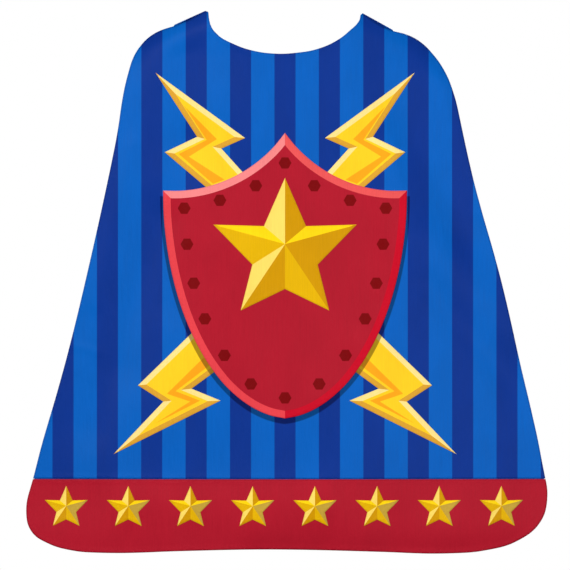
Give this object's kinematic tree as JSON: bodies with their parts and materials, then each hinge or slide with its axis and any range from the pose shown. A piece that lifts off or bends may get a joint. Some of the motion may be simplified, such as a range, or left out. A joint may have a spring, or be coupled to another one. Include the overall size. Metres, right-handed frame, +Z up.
{
  "type": "dress-up cape",
  "caption": "Child's satin dress-up cape with a scooped neck, two neck tabs with hook-and-loop, a striped shell, a border band and bonded shield, star and lightning patches.",
  "frame": {"origin": "the centre-back neck point: the middle of the neckline's lowest edge, where the cape sits on the nape", "axes": "+Z up, as the cape hangs; +Y forward, towards the wearer's face, so the printed side faces -Y; +X is the wearer's right"},
  "size_m": [0.6735, 0.0844, 0.7018],
  "materials": {
    "striped_shell": "satin",
    "border_band": "satin",
    "lining": "satin",
    "shield": "satin",
    "stars": "satin",
    "bolts": "satin",
    "label": "matte",
    "interfacing": "matte",
    "hook_tape": "matte",
    "loop_tape": "matte"
  },
  "bodies": {
    "cape_body": {"shell_panel": "striped_shell", "border_band": "border_band", "lining_panel": "lining", "care_label": "label", "shield_patch": "shield", "centre_star_patch": "stars", "upper_left_bolt_patch": "bolts", "upper_right_bolt_patch": "bolts", "lower_left_bolt_patch": "bolts", "lower_right_bolt_patch": "bolts", "hem_star_patch_1": "stars", "hem_star_patch_2": "stars", "hem_star_patch_3": "stars", "hem_star_patch_4": "stars", "hem_star_patch_5": "stars", "hem_star_patch_6": "stars", "hem_star_patch_7": "stars", "hem_star_patch_8": "stars"},
    "left_tab": {"left_tab_shell": "striped_shell", "left_tab_facing": "lining", "left_tab_interfacing": "interfacing", "loop_patch": "loop_tape"},
    "right_tab": {"right_tab_shell": "striped_shell", "right_tab_facing": "lining", "right_tab_interfacing": "interfacing", "hook_patch": "hook_tape"}
  },
  "joints": [
    {"name": "left_tab_fold", "type": "hinge", "parent": "cape_body", "child": "left_tab", "pos_m": [-0.12165, 0.02857, 0.0458], "axis": [0.9017, -0.1485, 0.4061], "range_deg": [0, 150]},
    {"name": "right_tab_fold", "type": "hinge", "parent": "cape_body", "child": "right_tab", "pos_m": [0.1184, 0.02258, 0.04115], "axis": [0.8731, 0.0758, -0.4816], "range_deg": [0, 150]}
  ]
}
